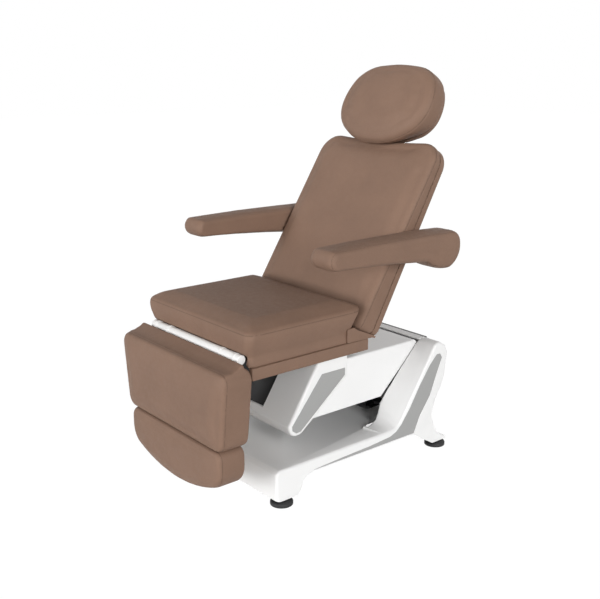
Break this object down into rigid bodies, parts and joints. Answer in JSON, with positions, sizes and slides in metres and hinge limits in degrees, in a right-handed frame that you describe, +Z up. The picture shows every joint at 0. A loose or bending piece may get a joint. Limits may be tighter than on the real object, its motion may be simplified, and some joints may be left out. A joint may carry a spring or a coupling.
{
  "type": "beauty treatment chair",
  "caption": "Upholstered treatment chair with reclining back, sliding headrest, swing-up armrests, raising leg rest and extending foot rest on a parallelogram lift base.",
  "frame": {"origin": "on the floor, at the middle of the chair's outline at rest", "axes": "+X to the right of the picture's near side, across the chair; +Y from the leg rest towards the head end; +Z up"},
  "size_m": [0.84, 1.1105, 1.4166],
  "materials": {
    "brown_upholstery": "satin",
    "white_shell": "satin",
    "grey_inset": "satin",
    "dark_frame": "satin",
    "bright_steel": "satin",
    "white_bar": "satin",
    "black_rubber": "matte",
    "plywood": "matte",
    "black_plastic": "matte",
    "chrome_rod": "polished"
  },
  "bodies": {
    "base": {"base_frame": "dark_frame", "base_shell": "white_shell", "side_inset_left": "grey_inset", "side_inset_right": "grey_inset", "tower_cap": "white_shell", "tower_seal": "black_plastic", "leveling_feet": "black_rubber", "foot_stems": "bright_steel", "tower_plate_left": "dark_frame", "tower_plate_right": "dark_frame", "rear_lower_shaft": "bright_steel", "rear_upper_shaft": "bright_steel", "control_box": "black_plastic", "power_inlet": "black_plastic", "lift_base_pin": "bright_steel"},
    "lift_arm": {"lower_link_left": "dark_frame", "lower_link_right": "dark_frame", "arm_cross_tube": "dark_frame", "arm_cover": "white_shell"},
    "upper_link": {"upper_link_left": "dark_frame", "upper_link_right": "dark_frame", "upper_cross_bar": "dark_frame"},
    "carriage": {"seat_frame": "dark_frame", "carriage_plate_left": "dark_frame", "carriage_plate_right": "dark_frame", "nose_shell": "white_shell", "nose_inset_left": "grey_inset", "nose_inset_right": "grey_inset", "front_lower_shaft": "bright_steel", "front_upper_shaft": "bright_steel", "seat_pan": "brown_upholstery", "seat_cushion": "brown_upholstery", "leg_hinge_bar": "white_bar", "back_hinge_shaft": "bright_steel", "leg_motor": "black_plastic", "back_motor": "black_plastic"},
    "backrest": {"back_frame": "dark_frame", "back_cover": "brown_upholstery", "back_cushion": "brown_upholstery", "armrest_pins": "bright_steel"},
    "headrest": {"headrest_posts": "chrome_rod", "headrest_board": "brown_upholstery", "headrest_cushion": "brown_upholstery"},
    "armrest_left": {"armrest_pad_left": "brown_upholstery", "armrest_core_left": "dark_frame"},
    "armrest_right": {"armrest_pad_right": "brown_upholstery", "armrest_core_right": "dark_frame"},
    "legrest": {"leg_frame": "dark_frame", "leg_board": "plywood", "leg_cushion": "brown_upholstery"},
    "footrest": {"foot_rails": "chrome_rod", "foot_board": "plywood", "foot_cushion": "brown_upholstery"},
    "lift_motor": {"lift_motor": "black_plastic"},
    "lift_rod": {"lift_rod": "chrome_rod"},
    "leg_rod": {"leg_rod": "chrome_rod"},
    "back_rod": {"back_rod": "chrome_rod"}
  },
  "joints": [
    {"name": "lift", "type": "hinge", "parent": "base", "child": "lift_arm", "pos_m": [0, 0.35452, 0.278], "axis": [-1, 0, 0], "range_deg": [0, 36]},
    {"name": "upper_link_swing", "type": "hinge", "parent": "base", "child": "upper_link", "pos_m": [0, 0.39453, 0.372], "axis": [-1, 0, 0], "range_deg": [0, 36]},
    {"name": "carriage_level", "type": "hinge", "parent": "lift_arm", "child": "carriage", "pos_m": [0, -0.12548, 0.278], "axis": [-1, 0, 0], "range_deg": [-36, 0]},
    {"name": "lift_drive_swing", "type": "hinge", "parent": "base", "child": "lift_motor", "pos_m": [0, 0.32453, 0.16], "axis": [-1, 0, 0], "range_deg": [0, 28.6]},
    {"name": "lift_rod_slide", "type": "slide", "parent": "lift_motor", "child": "lift_rod", "axis": [0, -0.8042, 0.5944], "range_m": [0, 0.0635]},
    {"name": "backrest_recline", "type": "hinge", "parent": "carriage", "child": "backrest", "pos_m": [0, 0.10403, 0.545], "axis": [-1, 0, 0], "range_deg": [-10, 57.5]},
    {"name": "back_rod_slide", "type": "slide", "parent": "carriage", "child": "back_rod", "axis": [0, -1, 0], "range_m": [-0.015, 0.0815]},
    {"name": "headrest_height", "type": "slide", "parent": "backrest", "child": "headrest", "axis": [0, 0.4924, 0.8704], "range_m": [0, 0.08]},
    {"name": "armrest_left_swing", "type": "hinge", "parent": "backrest", "child": "armrest_left", "pos_m": [-0.306, 0.25274, 0.80785], "axis": [-1, 0, 0], "range_deg": [-58, 110]},
    {"name": "armrest_right_swing", "type": "hinge", "parent": "backrest", "child": "armrest_right", "pos_m": [0.306, 0.25274, 0.80785], "axis": [-1, 0, 0], "range_deg": [-58, 110]},
    {"name": "legrest_raise", "type": "hinge", "parent": "carriage", "child": "legrest", "pos_m": [0, -0.44548, 0.535], "axis": [-1, 0, 0], "range_deg": [0, 85]},
    {"name": "leg_rod_slide", "type": "slide", "parent": "carriage", "child": "leg_rod", "axis": [0, -1, 0], "range_m": [0, 0.1165]},
    {"name": "footrest_extend", "type": "slide", "parent": "legrest", "child": "footrest", "axis": [0, 0, -1], "range_m": [0, 0.065]}
  ],
  "couplings": [
    {"joint": "upper_link_swing", "follows": "lift", "ratio": 1},
    {"joint": "carriage_level", "follows": "lift", "ratio": -1},
    {"joint": "lift_drive_swing", "follows": "lift", "ratio": 0.7848},
    {"joint": "lift_rod_slide", "follows": "lift", "m_per_rad": 0.09997},
    {"joint": "back_rod_slide", "follows": "backrest_recline", "m_per_rad": 0.07875},
    {"joint": "leg_rod_slide", "follows": "legrest_raise", "m_per_rad": 0.0766}
  ]
}
